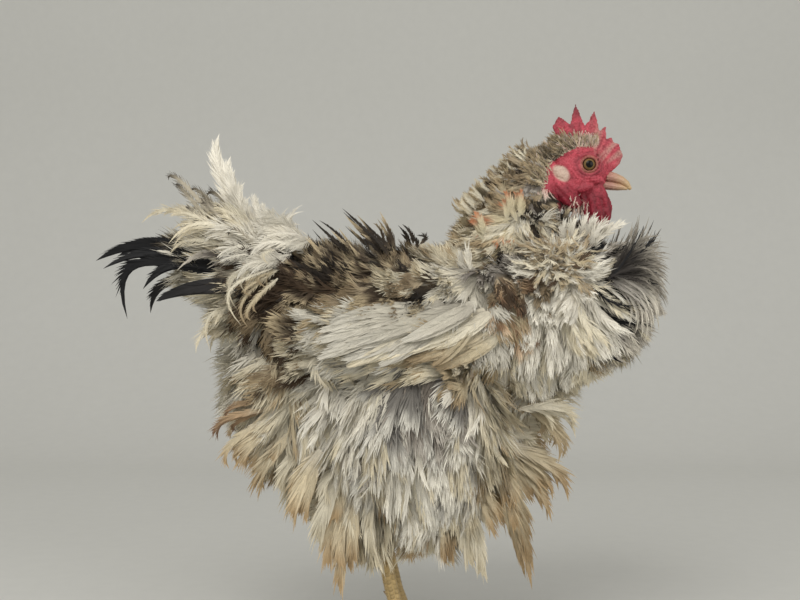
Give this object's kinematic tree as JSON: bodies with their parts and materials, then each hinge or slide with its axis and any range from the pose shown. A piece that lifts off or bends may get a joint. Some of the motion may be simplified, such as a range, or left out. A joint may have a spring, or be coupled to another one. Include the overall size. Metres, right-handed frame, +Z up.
{
  "type": "frizzle chicken",
  "caption": "Life-size standing cockerel with outward-curled feathers, serrated single comb, wattles, arched tail and bare scaled legs, as a still display model.",
  "frame": {"origin": "on the floor under the middle of the bird's bounding box, at the level of the flats under its toes", "axes": "+X towards the bill, +Z up, the bird's left side at +Y and its right side at -Y"},
  "size_m": [0.4302, 0.1824, 0.4015],
  "materials": {
    "comb_skin": "satin",
    "earlobe_skin": "satin",
    "horn": "satin",
    "eye": "gloss",
    "hackle_feather": "matte",
    "pale_feather": "matte",
    "dark_feather": "matte",
    "leg_scales": "satin"
  },
  "bodies": {
    "root": {"beak_lower": "horn", "beak_upper": "horn", "belly": "pale_feather", "breast": "pale_feather", "claw_hind_left": "horn", "claw_hind_right": "horn", "claw_inner_left": "horn", "claw_inner_right": "horn", "claw_middle_left": "horn", "claw_middle_right": "horn", "claw_outer_left": "horn", "claw_outer_right": "horn", "comb": "comb_skin", "earlobe_left": "earlobe_skin", "earlobe_right": "earlobe_skin", "eye_left": "eye", "eye_right": "eye", "foot_left": "leg_scales", "foot_right": "leg_scales", "head": "comb_skin", "neck": "hackle_feather", "shank_left": "leg_scales", "shank_right": "leg_scales", "spur_left": "horn", "spur_right": "horn", "tail": "pale_feather", "thigh_left": "pale_feather", "thigh_right": "pale_feather", "trunk": "dark_feather", "wattle_left": "comb_skin", "wattle_right": "comb_skin", "wing_left": "pale_feather", "wing_right": "pale_feather"}
  },
  "joints": []
}
